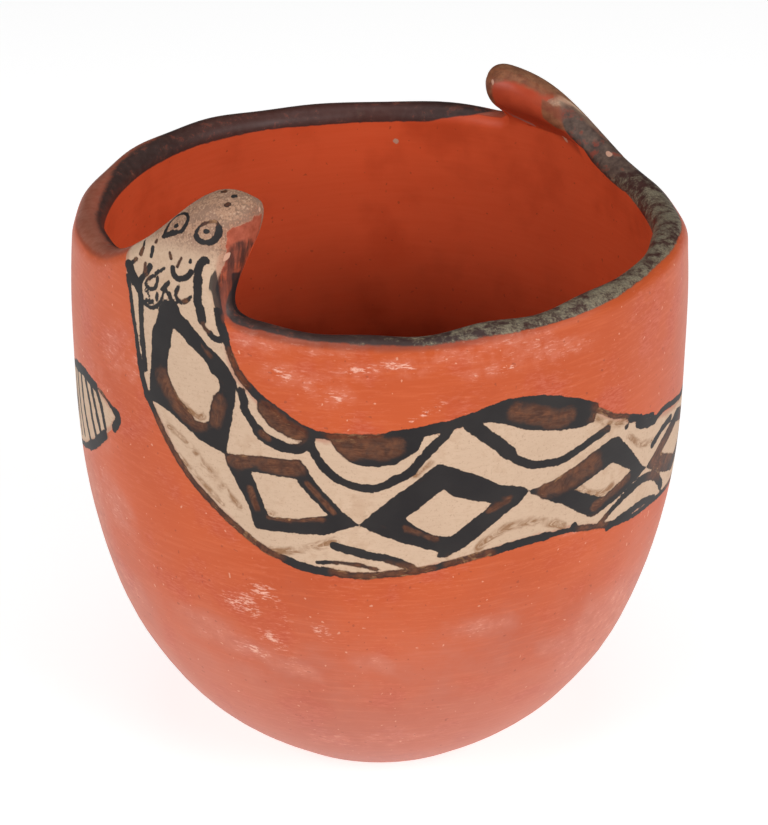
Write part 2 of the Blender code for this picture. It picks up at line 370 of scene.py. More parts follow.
# The diamonds, each as its outline and the bare slip within it
DIAMONDS = (
    (((-18.7, 163.1), (-15.5, 162.2), (-11.4, 158.7), (-9, 156.4), (-5.6, 153.2), (-1.4, 150.4),
      (1.2, 147.5), (3.4, 144.3), (2.9, 138.1), (1.9, 133.1), (0.7, 126.5), (0, 122.5), (-4, 123.5),
      (-7.9, 124.7), (-12, 127.2), (-16.3, 129.7), (-20.8, 131.2), (-26.3, 131.5), (-25.3, 133.8),
      (-24.9, 137.6), (-24.3, 142.7), (-23.9, 148), (-23.8, 152.3), (-21.5, 157), (-20.8, 160.1)),
     ((-16.3, 156.3), (-13.6, 154.3), (-10.8, 151.8), (-7.5, 149.8), (-5.6, 148.1), (-4.4, 145.5),
      (-2.1, 144.6), (-1.4, 140.7), (-3.7, 138.7), (-4.6, 134.5), (-5, 131), (-6.6, 129.9), (-9.4, 130.2),
      (-11.9, 133.2), (-14.8, 135.3), (-16.9, 138.7), (-18.2, 141.7), (-18.3, 145.3), (-17.1, 149.3),
      (-16.6, 153.3))),
    (((0, 122.5), (11, 124), (21.5, 124.5), (25, 118.5), (32, 110), (36.5, 106), (27.5, 102.5),
      (16.5, 102), (8, 101.5), (6.5, 108), (0, 120)),
     ((7, 119), (20, 119), (22, 116), (28.5, 108.5), (19.5, 106.5), (12, 106), (10, 112))),
    (((36.5, 105.8), (41.8, 111), (46.7, 115.4), (51.2, 118.9), (55.3, 122.5), (57.5, 124.2),
      (61.3, 122.7), (67.6, 119.7), (74.5, 115.5), (80.4, 113.6), (83.2, 111.8), (80.2, 108.6),
      (75.2, 105.6), (65, 97.5), (59.6, 95), (57.6, 95.3), (57.9, 97.1), (51.3, 99.4), (43.7, 102.4)),
     ((58.9, 116.5), (61.5, 114.1), (67, 112), (72.2, 110.4), (71, 108.7), (66.7, 105.8), (61, 101.3),
      (57.1, 102.1), (52.4, 104.8), (48.8, 108.1), (53.1, 111.8))),
    (((83, 111.5), (90, 112.6), (96.2, 114.3), (104, 117), (111, 118.8), (114.5, 118.2), (117.5, 115),
      (122, 110), (127.3, 104), (130, 102), (125, 100.8), (117.5, 98.8), (109.5, 97), (105.5, 96.3),
      (101, 99.2), (95.5, 103.5), (88, 107.8)),
     ((98, 107.5), (105, 109.6), (112.5, 111.1), (117.5, 107.8), (121.9, 104.8), (116, 103.1),
      (109.6, 101.1), (104.6, 103.6), (101, 105.6))),
    (((130, 102), (141, 107), (152, 110.5), (163, 106.5), (177, 101.5), (165, 95), (153, 90.5),
      (142, 95)),
     ((140, 102), (152, 106.5), (166, 101.5), (153, 95.5))),
    (((177, 101.5), (184, 109), (189, 112), (198, 109.5), (193, 100), (187, 95)),
     ((184, 102.5), (189.5, 107.5), (192.5, 106), (189, 99.5))),
)
# Solid cells that hang from the line of the back
CELLS = (
    ((7.5, 143), (9.3, 140.4), (9.7, 137.6), (12.7, 133.5), (17.8, 131), (21.6, 130.4), (24, 132),
     (14, 138)),
    ((29.5, 131), (30.9, 128.1), (32.5, 126.5), (35.1, 124.6), (38.1, 123.8), (42.2, 123.8),
     (45.9, 124.4), (48.9, 126.3), (52.2, 128.6), (54, 133.5)),
    ((66, 135.5), (74, 138.5), (79, 139), (87, 138), (97, 135.5), (101.5, 133), (104.5, 129),
     (104, 126.5), (98, 126.5), (92.3, 127.6), (84.7, 129.6), (80.4, 131), (76.2, 133.1), (72.2, 134.7)),
)
STROKES = (
    # Outlines of the neck and body
    (2.3, ((-2.4, 163.7), (-2.1, 161.1), (-1.2, 158.7), (0.1, 156.2))),
    (1.8, ((0.1, 156.2), (0.9, 153.9), (2, 150.9), (4, 147))),
    (2.2, ((4, 147), (9, 142), (15.8, 137.5), (20.5, 134.5), (25, 132.7))),
    (2.0, ((25, 132.7), (31, 132.2), (40, 132.3), (47, 132.8))),
    (2.8, ((45, 132.8), (54, 134), (63, 135.7), (74, 138.7), (82, 138.6), (92, 136.3), (104, 131))),
    (1.3, ((104, 130.5), (111, 126), (117, 123.5), (125, 120))),
    (1.4, ((119, 121.4), (126, 119.4), (132, 117.8))),
    (2.6, ((123.5, 118.4), (128, 116.7), (133.5, 115.6))),
    (1.8, ((133.5, 115.6), (138, 116.2), (142.2, 115.8), (150, 114), (160, 112.5), (175, 114), (190, 118),
           (201, 121.5))),
    (1.6, ((-34.6, 164.3), (-33.4, 160.4), (-32.5, 155.5), (-31.1, 149.9), (-29.8, 144))),
    (2.2, ((-29.8, 143.5), (-28.5, 138), (-26.3, 132))),
    (1.8, ((-26, 132), (-17, 118.5), (-9, 109.5), (1.7, 101), (11.2, 95), (16, 93.3))),
    (2.6, ((16, 93.3), (22, 91.3), (29, 90.6))),
    (2.0, ((29, 90.6), (37.6, 89.9), (45.3, 90.5), (53, 91.3), (66, 93.7), (75, 95))),
    (2.6, ((73, 94.5), (81, 95.5), (90, 95.5))),
    (1.6, ((90, 95.5), (100, 94.5), (117, 90), (135, 87.5), (155, 86), (170, 87), (185, 90),
           (199, 96))),
    # The eyes
    (1.15, ((-21.8, 180.9), (-22, 184.6), (-21.9, 187.6), (-20.4, 190.2), (-17, 191.3), (-14.5, 189.8),
           (-14.5, 187.4), (-15.7, 184.8), (-18.5, 182.9), (-21.8, 180.9))),
    (1.6, ((-22, 181.2), (-19.9, 182.6), (-17.4, 183.8))),
    (1.5, ((-18.2, 185.9), (-17.9, 186.1))),
    (1.8, ((-3.9, 189.4), (-3.7, 187.7), (-4.4, 185.4), (-5.9, 183.8), (-7.6, 183.2), (-9.1, 183.3),
           (-10.3, 184.4))),
    (0.9, ((-10.6, 185.8), (-9.9, 187.5), (-8.5, 189.3), (-6.8, 190.4), (-5, 190.9), (-4, 190))),
    (1.5, ((-7.6, 186.8), (-7.3, 186.9))),
    # Nostrils
    (1.4, ((-7.6, 203.3), (-7.1, 203.7))),
    (1.5, ((-3.3, 202.2), (-3, 202.6))),
    (1.8, ((-3.5, 198), (-3.3, 198.4))),
    # Small marks of the cheek
    (0.9, ((-30.8, 177.9), (-29.6, 175.9))),
    (1.2, ((-25.4, 176.4), (-25.4, 174.7), (-25.6, 173.2))),
    (0.8, ((-24.3, 179.3), (-24.7, 178.2))),
    (1.5, ((-29.4, 174.7), (-29.9, 172.7))),
    (0.8, ((-27.5, 170.4), (-27.8, 167.5))),
    (0.7, ((-18.5, 176.6), (-17.7, 174.8))),
    (1.0, ((-11, 176.2), (-11.1, 175.6))),
    (0.7, ((-14.1, 176.1), (-15.2, 173))),
    (1.2, ((-31.4, 170.6), (-33, 168.9))),
    # The neck
    (3.4, ((-34.4, 167.5), (-33.2, 166), (-31.3, 164.2), (-29.6, 162.7))),
    (1.8, ((-25.5, 170.1), (-26.5, 168.3), (-28.4, 165.9), (-29.8, 163.6))),
    (2.3, ((-29.4, 162.7), (-28.7, 160.6), (-28.5, 157.5))),
    (2.0, ((-28.5, 157.5), (-28.3, 153), (-27.9, 148), (-27.2, 143.1), (-27, 140))),
    (0.9, ((-25.4, 166.6), (-24, 168))),
    (0.9, ((-23.1, 168.8), (-21.9, 169.8))),
    (1.0, ((-21, 170.2), (-19.8, 171.3))),
    (0.8, ((-26.9, 164.8), (-26.1, 166.2), (-24.4, 167.5), (-23.1, 168.1))),
    (1.0, ((-26.5, 164.6), (-24.8, 163.9), (-23.1, 164.6), (-22.3, 166.2), (-22.1, 167.8))),
    (0.8, ((-26.8, 162.9), (-25.8, 162.6), (-24.9, 161.6))),
    (0.9, ((-27.1, 159.4), (-25.5, 158.8), (-23.3, 159.1), (-21.2, 160.8), (-20, 162.7),
           (-19.4, 164.8))),
    (0.8, ((-26.1, 160.5), (-24.7, 160.2), (-23.5, 161))),
    (1.1, ((-21.7, 163.5), (-22.1, 161.9))),
    (0.9, ((-20.3, 165.3), (-19.1, 166.6), (-17.7, 167.9))),
    (1.0, ((-19.3, 166.1), (-18.1, 165.1), (-16.7, 163.6), (-15.3, 162.3))),
    (1.5, ((-17.4, 164.8), (-16.2, 163.2), (-14.5, 161.4))),
    (1.55, ((-16.7, 172.2), (-16.1, 170.6), (-14.1, 169.9), (-11.8, 171), (-10.6, 172.6))),
    (1.1, ((-14.3, 167.5), (-15, 165.9), (-14.8, 164.5), (-13, 163.6), (-11.6, 164.5),
           (-10.3, 165.9))),
    (2.0, ((-6.6, 177.8), (-7.1, 177.4), (-8, 175.8), (-8.6, 173.9), (-8.5, 171.4))),
    (2.4, ((-8.5, 171.4), (-8.5, 168), (-8.3, 164.8), (-7.4, 162.4), (-7, 159.7))),
    (1.0, ((-6.9, 159.6), (-6.3, 158), (-5.3, 157.1))),
    (1.7, ((-4.7, 156.5), (-3.4, 155.5), (-2, 155.3), (-0.9, 156))),
    # Arcs below the cells that hang from the back
    (2.3, ((4.8, 142), (5.6, 139.7), (5.9, 136.9), (7.6, 134.3), (9.6, 131.5))),
    (3.2, ((9.6, 131.5), (11.4, 129.7), (14.2, 128.7), (16.9, 127.9))),
    (2.8, ((16.9, 127.9), (19.7, 127.6), (22.4, 128.8), (23.7, 131))),
    (2.2, ((24.1, 129.2), (26.1, 124.8), (28.8, 121.6), (31.4, 119.6), (34.4, 118.1), (37.7, 117.3),
           (40.7, 117.3), (43.7, 118.3))),
    (2.5, ((43.7, 118.3), (46.3, 120), (48.7, 120.9), (50.8, 122.8), (53, 125.6), (55.6, 128.8),
           (58.2, 131.3), (60, 133.5))),
    (3.7, ((66, 134.5), (68.2, 132.8), (70.6, 130.7), (73.8, 127.6), (76.7, 124.5))),
    (2.3, ((76.7, 124.5), (79.7, 121.8), (84, 119.4), (88.9, 118.6), (92.6, 118.2), (98, 119.5),
           (104.5, 121.5), (109.5, 122.5))),
    (2.2, ((133, 108), (139, 110), (146, 110.5))),
    # Marks along the belly
    (2.4, ((30, 99.2), (33.8, 98.1), (39.5, 96.5), (45.3, 95.1), (50.3, 92.6))),
    (1.0, ((25.2, 93.5), (29.9, 93.9), (35.7, 93.6), (41.4, 91.9))),
    (1.8, ((98.7, 96), (99.1, 96))),
    (1.9, ((109, 92.5), (114, 95.5), (120.5, 98))),
    (2.7, ((120.5, 98), (128, 99), (135.5, 97), (141.5, 92.5), (144, 89.5))),
    (2.2, ((113, 90), (120.5, 91), (130.5, 90.5), (139, 88))),
    (1.6, ((117.6, 120), (118, 120))),
    (2.0, ((160, 90), (168, 93), (176, 92), (182, 90))),
    # The outlined and hatched tail
    (3.0, ((200, 121.5), (204.5, 122.8), (212.4, 124.5), (217.2, 124.2), (221.6, 124.1))),
    (1.0, ((223.4, 124.3), (226.5, 123.6), (229.9, 122.3), (232.6, 121.4))),
    (2.6, ((232.6, 121.3), (234.2, 120.3), (233.9, 118.5), (231.8, 115.8))),
    (2.8, ((226, 111.4), (222.5, 108.4), (217.5, 104.5), (211.4, 100.9))),
    (1.6, ((211.4, 100.9), (205, 98), (199, 96))),
    (1.6, ((198, 121), (198.5, 113), (201, 100))),
    (1.6, ((203, 121.5), (203.5, 114), (206.5, 102))),
    (1.7, ((208.4, 121.5), (209.4, 114.4), (211.6, 107.6), (213.3, 103.6))),
    (1.8, ((213, 122.5), (215.7, 117.4), (217.2, 111.8), (219, 107.5))),
    (1.8, ((218.1, 122.5), (220.4, 117), (222.7, 110.8))),
    (1.9, ((222.5, 122.6), (224.8, 119), (226.4, 113.5))),
)
# Where the paint was brushed out thin and brown, as strokes of the reach to each side
THIN_PAINT = (
    (3.2, ((-20, 140), (-16.2, 134.9), (-12.3, 131.6), (-8, 129.9))),
    (2.6, ((-2, 137.5), (-3, 131.5))),
    (0.8, ((-6.8, 152.3), (-4.2, 149.8))),
    (1.6, ((-13.5, 165.8), (-12, 164.4))),
    (2.2, ((1.5, 152.5), (3.5, 149), (6, 144.8))),
    (3.2, ((2, 121.2), (8.9, 122.7), (14.1, 121.9), (20, 122.2))),
    (1.3, ((7, 113.5), (8.7, 107.8))),
    (1.0, ((12, 105.8), (20, 106.4), (27, 107.4))),
    (1.0, ((23, 117.8), (30, 109.4))),
    (3.4, ((11.5, 138), (15.8, 134.4), (20.5, 132))),
    (4.0, ((31, 132.3), (40, 132.4))),
    (1.2, ((10.6, 131), (12.4, 129.8))),
    (3.4, ((33.3, 128), (37.8, 129), (42.2, 128.5), (46.5, 129.9))),
    (6.0, ((-21, 124), (-14, 114), (-6, 107))),
    (4.0, ((0, 101.8), (7, 97), (13, 94.5))),
    (4.5, ((32, 92.1), (41.4, 90.5), (54, 91))),
    (1.1, ((49, 105), (57, 101.2))),
    (1.2, ((71.5, 108), (77.5, 110.5))),
    (3.4, ((79, 136.3), (85.9, 133.5), (91.4, 131), (95, 131))),
    (3.5, ((62, 92.6), (71, 93.8))),
    (4.4, ((89, 111), (98, 112.5), (104, 113.5))),
    (1.8, ((106, 99.5), (120, 103))),
    (6.0, ((107, 128), (114, 124.5))),
    (8.0, ((138, 101), (150, 100), (168, 103))),
    (6.0, ((184, 105), (190, 105))),
    (8.0, ((155, 87), (165, 87))),
    (8.0, ((170, 114), (180, 114))),
    (4.0, ((104, 93), (110, 93))),
    (1.5, ((-31.8, 170.5), (-31, 169.6))),
    (1.6, ((-29.8, 174.5), (-29.5, 173))),
    (1.2, ((-27.8, 170), (-27.5, 168.3))),
    (1.8, ((-9.4, 189.2), (-7.5, 190.4), (-5.8, 190.8))),
    (1.3, ((-6.6, 158.6), (-5.6, 157.4))),
    (1.2, ((-26.4, 167), (-25.6, 166))),
    (1.2, ((-24.4, 179.4), (-24.5, 178.6))),
    (1.5, ((-14.6, 175.6), (-15.2, 174))),
    (1.3, ((-18.2, 176.4), (-17.9, 175.4))),
    (2.5, ((225, 124.6), (229, 124.6))),
    (1.3, ((-3.5, 198.2), (-3.4, 198.3))),
    (1.3, ((-7.4, 203.5), (-7.2, 203.6))),
)
# Brown smears of nearly dry brush, as strokes
SMEARS = (
    (2.4, ((12.6, 95.5), (16.3, 95.8), (20.6, 97.1), (25.6, 98.7), (30.2, 100.7))),
    (2.6, ((69.1, 96.9), (73, 99.8), (77.1, 101.6), (83.5, 101.9), (90.5, 99.5), (95, 97))),
    (1.8, ((-18.5, 125.6), (-15.4, 124.5), (-11.3, 121.9), (-7.2, 118.2), (-3.2, 114.4), (0.9, 109.9),
           (3.8, 106.9))),
    (1.5, ((-14.9, 118), (-8.4, 112.3), (-1.7, 106.5))),
    (1.8, ((119, 116.5), (126, 111), (132.5, 109.5))),
    (2.2, ((-16, 135), (-9, 131.5), (-7, 132))),
    (1.8, ((104, 128), (111, 123.5), (118, 121.5))),
    (2.2, ((9, 110), (9.5, 107.5), (13, 107))),
    (2.0, ((99, 108), (107, 103), (113, 103.5))),
    (1.6, ((51, 120.8), (53.5, 122.8), (55.5, 124.5))),
    (2.2, ((217, 104), (222, 107.5), (227, 111.5))),
)
# Thin paint fades out at this many times its reach
THIN_CORE = 1.4
# Depths are worked out only this near to a shape, and are at their lowest elsewhere
NEAR = 6.0
NO_PAINT = -6.0


def smooth_line(points, steps=4):
    """A line of short steps that passes smoothly through a few points."""
    points = np.asarray(points, float)
    if len(points) < 3:
        return points
    pulls = np.gradient(points, axis=0) / 3
    spans = [
        bezier(a, a + pull, b - draw, b, steps)[1:]
        for a, b, pull, draw in zip(points, points[1:], pulls, pulls[1:])]
    return np.concatenate([points[:1], *spans])


def depth_in_stroke(points, width, line):
    """How far points are inside a brush stroke, and below zero outside it."""
    nearest = np.full(len(points), np.inf)
    for start, end in zip(line, line[1:]):
        along = end - start
        share = np.clip(((points - start) @ along) / max(along @ along, 1e-9), 0.0, 1.0)
        nearest = np.minimum(nearest, np.linalg.norm(points - start - share[:, None] * along, axis=1))
    return width / 2 - nearest


def depth_in_patch(points, outline):
    """How far points are inside a closed outline, and below zero outside it."""
    outline = np.asarray(outline, float)
    closed = np.concatenate([outline, outline[:1]])
    inside = np.zeros(len(points), bool)
    for (x0, y0), (x1, y1) in zip(closed, closed[1:]):
        crosses = (points[:, 1] < y0) != (points[:, 1] < y1)
        slope = (x1 - x0) / (y1 - y0) if y1 != y0 else 0.0
        inside ^= crosses & (points[:, 0] < x0 + (points[:, 1] - y0) * slope)
    return np.abs(depth_in_stroke(points, 0.0, closed)) * np.where(inside, 1.0, -1.0)


def points_near(points, shape, margin=NEAR):
    """Places in the list of the points that lie on a shape or close to it."""
    low, high = np.min(shape, axis=0) - margin, np.max(shape, axis=0) + margin
    return np.flatnonzero(((points > low) & (points < high)).all(1))


def lay_on(fields, name, near, depth, across=None):
    """Raise one field where a new shape is deeper, and keep how far across the shape that is."""
    deeper = depth > fields[name][near]
    fields[name][near[deeper]] = depth[deeper]
    if across is not None:
        fields["across"][near[deeper]] = across[deeper]


def paint_snake(fields, points, outward, over_crest):
    """Paint one snake into the fields of the points, down the outside from near its crest."""
    slip_limit, paint_limit = (outward + over for over in over_crest)
    body = np.concatenate([smooth_line(BACK_LINE), smooth_line(BELLY_LINE)[::-1]])
    near = points_near(points, body)
    lay_on(fields, "slip", near, np.minimum(depth_in_patch(points[near], body), slip_limit[near]))
    for outline, bare in DIAMONDS:
        near = points_near(points, outline)
        across = depth_in_patch(points[near], outline)
        depth = np.minimum(across, -depth_in_patch(points[near], bare))
        lay_on(fields, "paint", near, depth, across)
    for outline in CELLS:
        near = points_near(points, outline)
        depth = depth_in_patch(points[near], outline)
        lay_on(fields, "paint", near, depth, points[near, 1])
    for name, strokes in (("paint", STROKES), ("smear", SMEARS)):
        for width, line in strokes:
            line = smooth_line(line)
            near = points_near(points, line)
            depth = depth_in_stroke(points[near], width, line)
            lay_on(fields, name, near, np.minimum(depth, paint_limit[near]), depth)
    for reach, line in THIN_PAINT:
        near = points_near(points, line, THIN_CORE * reach)
        thin = smooth_step(THIN_CORE + depth_in_stroke(points[near], 0.0, smooth_line(line)) / reach)
        fields["thin"][near] = np.maximum(fields["thin"][near], thin)


# The unrolled layout of a snake starts this far before its throat, just behind the nape
SNAKE_START = -60.0


def snake_layout(points, head):
    """Distance round from a head's throat, and climb, stretched on the lower head to fit."""
    angle = np.arctan2(points[:, 0], -points[:, 1])
    around = ((angle - head["throat"]) * RIM_RADIUS - SNAKE_START) % AROUND + SNAKE_START
    leaning = np.maximum(RIM_RADIUS - np.hypot(points[:, 0], points[:, 1]), 0.0)
    climb = points[:, 2] + np.where(points[:, 2] > BELLY_HEIGHT, leaning, 0.0)
    tallest = SNAKE_HEADS[0]
    stretch = (tallest["rise"] + tallest["lean"]) / (head["rise"] + head["lean"])
    return np.stack([around, climb + np.maximum(climb - RIM_HEIGHT, 0.0) * (stretch - 1.0)], 1)


# The painted rim
# Black paint was brushed over the lip, and handling has worn it to red-brown at the left and
# to a mottled grey at the right. Each row is an angle in degrees, how far the paint reaches
# down the outside and the inside of the lip, how softly it ends, and the shares of the
# red-brown stain beside it and of the grey mottling. Where the stain goes past 1, on the left
# of the lip, it turns pinkish grey, partly as painted sheen.
RIM_PAINT = (
    (-180, 3.0, 7.2, 0.5, 0.3, 0.15), (-142, 3.0, 7.2, 0.6, 0.3, 0.15), (-132, 2.5, 7.2, 0.9, 0.6, 0.15),
    (-126, 0.2, 7.0, 2.0, 1.1, 0.20), (-112, 0.6, 7.0, 2.0, 1.2, 0.25), (-104, -1.5, 7.0, 2.0, 1.4, 0.2),
    (-90, -2.6, 7.0, 2.0, 1.4, 0.1), (-74, -1.6, 7.0, 2.0, 1.4, 0.2), (-62, -1.0, 4.0, 2.0, 1.0, 0.2),
    (-50, -4.0, -2.0, 2.0, 0.3, 0.1), (-37, -4.0, -2.0, 1.5, 0.2, 0.1), (-31, 0.6, 5.0, 0.8, 0.5, 0.15),
    (-27, 3.2, 7.0, 0.6, 0.8, 0.2), (-22, 2.6, 7.0, 0.7, 0.9, 0.2), (-15, 2.4, 7.0, 0.8, 0.9, 0.25),
    (-8, 2.6, 7.0, 0.8, 0.9, 0.4), (0, 3.1, 7.0, 1.0, 0.9, 0.55), (8, 3.3, 7.5, 1.0, 0.9, 0.75),
    (16, 3.6, 7.5, 0.8, 0.8, 0.85), (24, 4.0, 8.0, 0.6, 0.5, 0.95), (37, 4.7, 8.0, 0.4, 0.4, 1.0),
    (47, 4.6, 8.5, 0.5, 0.3, 1.0), (63, 3.2, 8.5, 0.6, 0.3, 1.0), (90, 3.5, 8.5, 0.6, 0.3, 1.0),
    (105, 4.0, 7.5, 0.8, 0.5, 0.85), (112, 4.0, 6.5, 0.8, 0.5, 0.8), (118, 4.0, 8.0, 1.2, 0.6, 0.65),
    (122, 3.5, 9.0, 1.6, 0.7, 0.2), (126, 2.0, 6.0, 1.8, 0.8, 0.1), (129, -3.0, -2.0, 2.0, 0.6, 0.1),
    (134, -4.0, -4.0, 2.0, 0.2, 0.1), (140, -4.0, -4.0, 2.0, 0.0, 0.2), (150, -4.0, -4.0, 2.0, 0.5, 0.1),
    (154, -1.0, 0.0, 2.0, 1.1, 0.1), (159, 2.0, 3.5, 2.0, 1.1, 0.1), (164, 3.0, 5.0, 1.6, 0.9, 0.15),
    (169, 3.0, 6.6, 0.8, 0.5, 0.15), (180, 3.0, 7.2, 0.5, 0.3, 0.15),
)
INNER_SOFTNESS = 0.5
# How far beyond the paint the stain fades out, and the least of the lip that it covers
STAIN_REACH = 3.2
STAINED_LIP = 3.0
# How high the rim's paint climbs a head, and how softly it ends there
PAINT_CLIMB = 179.0
CLIMB_SOFTNESS = 8.0


def rim_fields(flat, climb, slip):
    """Depth in the rim's paint over its softness, its stain with painted sheen, and its mottling."""
    degrees, *columns = np.transpose(RIM_PAINT)
    here = np.degrees(flat[:, 0] / RIM_RADIUS)
    down_outside, down_inside, softness, stain_and_sheen, mottling = (
        np.interp(here, degrees, column) for column in columns)
    outward = flat[:, 1] - CREST_RUN
    inner = np.minimum(down_inside + outward, -slip)
    outer = down_outside - outward
    below = (PAINT_CLIMB - climb) / CLIMB_SOFTNESS
    depth = np.minimum.reduce([inner / INNER_SOFTNESS, outer / softness, below])
    stained = stain_and_sheen * smooth_step(1.0 + (np.maximum(down_outside, STAINED_LIP) - outward) / STAIN_REACH)
    stained *= (slip < 0.5) * smooth_step(0.5 + np.maximum(down_inside, STAINED_LIP) + outward)
    return {
        "rim": np.clip(depth, NO_PAINT, -NO_PAINT), "rim_depth": np.minimum(inner, outer), "stain_and_sheen": stained,
        "mottling": mottling}


# The wear, with some painted shade and sheen
# The slip is rubbed from the snouts, the throats are sooty, and the crowns are grimy and darker
# higher up, partly as painted shade. Outlines are (distance round from the throat, distance over
# the crest) before the clay was drawn up, each with the field it adds to and how softly it ends.
HEAD_WEAR = (
    (
        ("bared", 1.2, ((-16.5, 7.3), (-10.5, 7.5), (-7, 8.2), (-6.5, 4.5), (-9, 2), (-12.5, -1.5), (-15, -3),
                        (-19.5, -3), (-20, 0.6), (-17.4, 3))),
        ("sooty", 2.0, ((-12, 5.2), (-13.3, 1), (-12.6, -1.5), (-9.5, -2), (-7.5, -2), (-5, -3), (-2.8, -4),
                        (-0.6, -5), (3, -5), (5, 2), (1.5, 3.8), (-0.3, 4.2), (-2.3, 5.2), (-4.3, 6.4),
                        (-6.6, 6.2), (-8.2, 5.6), (-10.9, 5.4))),
        ("inky", 1.4, ((-6.2, 2.2), (-3.5, 1), (-1.4, 0.2), (0.6, 0), (3.5, -0.6), (3.5, -4), (0, -3.4),
                       (-3.5, -2), (-6.5, -0.6))),
        ("inky", 0.7, ((-9.6, 9.6), (-8.8, 8.1), (-6.4, 6.5), (-3.9, 5.1), (-1.4, 4.1), (0.6, 3.9),
                       (0.6, 5.3), (-1.6, 6.3), (-3.6, 7.4), (-6.2, 9), (-8, 10.2))),
    ),
    (
        ("ruddy", 4.0, ((-9, 3), (-9, -9), (-20, -13), (-36, -12), (-36, 1), (-20, 1.5))),
        ("browned", 3.0, ((-9, 9), (-8, -5.5), (-11, -5.6), (-13.5, -1.6), (-17, -0.6), (-22, -0.2), (-27, 0),
                          (-29, 1), (-31, 3.4), (-34, 4.6), (-40, 4), (-50, 3), (-55, 2), (-55, 7),
                          (-38, 8))),
        ("browned", 1.6, ((-28.2, -1), (-28.6, -5), (-31.8, -6.4), (-36, -4), (-37, 1.5), (-33.5, 1),
                          (-30.8, -0.8))),
        ("rubbed", 2.5, ((-31, 1.5), (-33, -1), (-35, -5), (-40, -8.5), (-46, -8), (-52, -6), (-55, 0),
                         (-52, 4), (-42, 5), (-34, 3.5))),
        ("worn", 0.6, ((-10.6, -7), (-9.8, -10), (-13.4, -11.1), (-17.5, -11.9), (-17.5, -12.9),
                       (-13.2, -12.4), (-8.6, -11.1), (-9.6, -7))),
    ),
)
# Slip left on the inner side of the second head
SLIP_REMNANT = ((-29, -1.2), (-30.4, 2.6), (-33.5, 4.6), (-35.4, 3.4), (-33, 0.4), (-30.8, -1.4))
# How far the slip and the paint over it reach over the crest of each head
OVER_CREST = ((3.5, 0.0), (-1.8, -6.0))
# Chips of the slip, as (head, distance round, distance over the crest, radius)
CHIPS = (
    (0, -9.9, 5.2, 0.8), (0, -18.3, 0.3, 0.35), (1, -47.5, -1.0, 0.8), (1, -29.5, -11.6, 0.8),
    (1, -13.2, -1.6, 0.5), (1, 39.8, -13.5, 0.8),
)
CHIP_SOFTNESS = 0.8
# A haze is full to half its reach, and fades out at this many times it
HAZE_CORE = 1.5
SCRAPE_SOFTNESS = 1.6
# Between these climbs the crowns grow grimy and darker, the darkening partly painted shade
GRIME_AND_SHADE_CLIMB = (179.0, 206.0)
# Hazy rubbing of the wall, the broad ones at the left side painted sheen: (distance round from
# the front, height, reach round, reach up)
HAZES_AND_SHEEN = (
    (-31, 157, 11, 3), (-17, 157, 9, 2), (-25, 149, 7, 3), (-16, 147, 6, 3), (-12, 144, 6, 3),
    (-8, 157, 8, 2), (-5, 151, 8, 3), (5, 152, 9, 3), (16, 155, 7, 2), (35, 155, 14, 4), (30, 149, 9, 2),
    (50, 151, 12, 3), (85, 50, 22, 16), (-55, 62, 12, 3), (-43, 58, 10, 3), (-59, 65, 6, 2),
    (-43, 47, 8, 2), (-26, 54, 6, 3), (-1, 60, 5, 3), (-16, 23, 14, 4), (6, 25, 12, 4), (60, 96, 9, 3),
    (58, 53, 6, 2), (30, 70, 9, 3), (160, 80, 30, 8), (250, 70, 25, 9), (300, 140, 28, 6),
    (380, 120, 30, 8), (-122, 85, 24, 48), (-95, 118, 10, 14), (210, 110, 16, 5), (440, 60, 20, 8),
    (-90, 90, 10, 9), (-80, 140, 10, 8),
)
# Level scrapes, as strokes of (distance round from the front, height)
SCRAPES = (
    (2.4, ((-49, 73), (-43, 74), (-39, 75), (-35, 73.5), (-31, 72.4), (-26, 71.5))),
    (2.5, ((-40, 67), (-36, 66), (-32, 65), (-29, 66), (-26, 69))),
    (2.8, ((-33, 81), (-31, 80), (-33, 78), (-29, 78))),
    (1.3, ((-29, 79), (-25, 79), (-22, 79), (-18, 78))),
    (1.0, ((-26, 77), (-22, 77))),
    (2.1, ((-26, 74.5), (-24, 73), (-22, 72))),
    (1.4, ((-18, 70), (-14, 70))),
    (1.5, ((-42, 81.5), (-39, 80))),
    (1.4, ((-39, 84), (-36, 83))),
    (1.4, ((-29, 61), (-27, 60), (-23, 60))),
    (1.4, ((-48, 56), (-43, 57), (-39, 55))),
    (1.1, ((-58, 62.5), (-50, 61), (-43, 60), (-38, 59))),
    (1.3, ((8, 137), (11, 138.5), (14, 139.8))),
    (1.0, ((15, 140.5), (17, 141))),
    (1.8, ((-27, 149.5), (-23, 148))),
    (2.1, ((-13, 144.5), (-10, 143))),
    (1.7, ((-8, 151.5), (-3, 152))),
    (1.8, ((1, 153), (8, 152.5))),
    (1.1, ((33, 149.5), (37, 149.5))),
    (1.4, ((62, 97), (67, 96))),
)


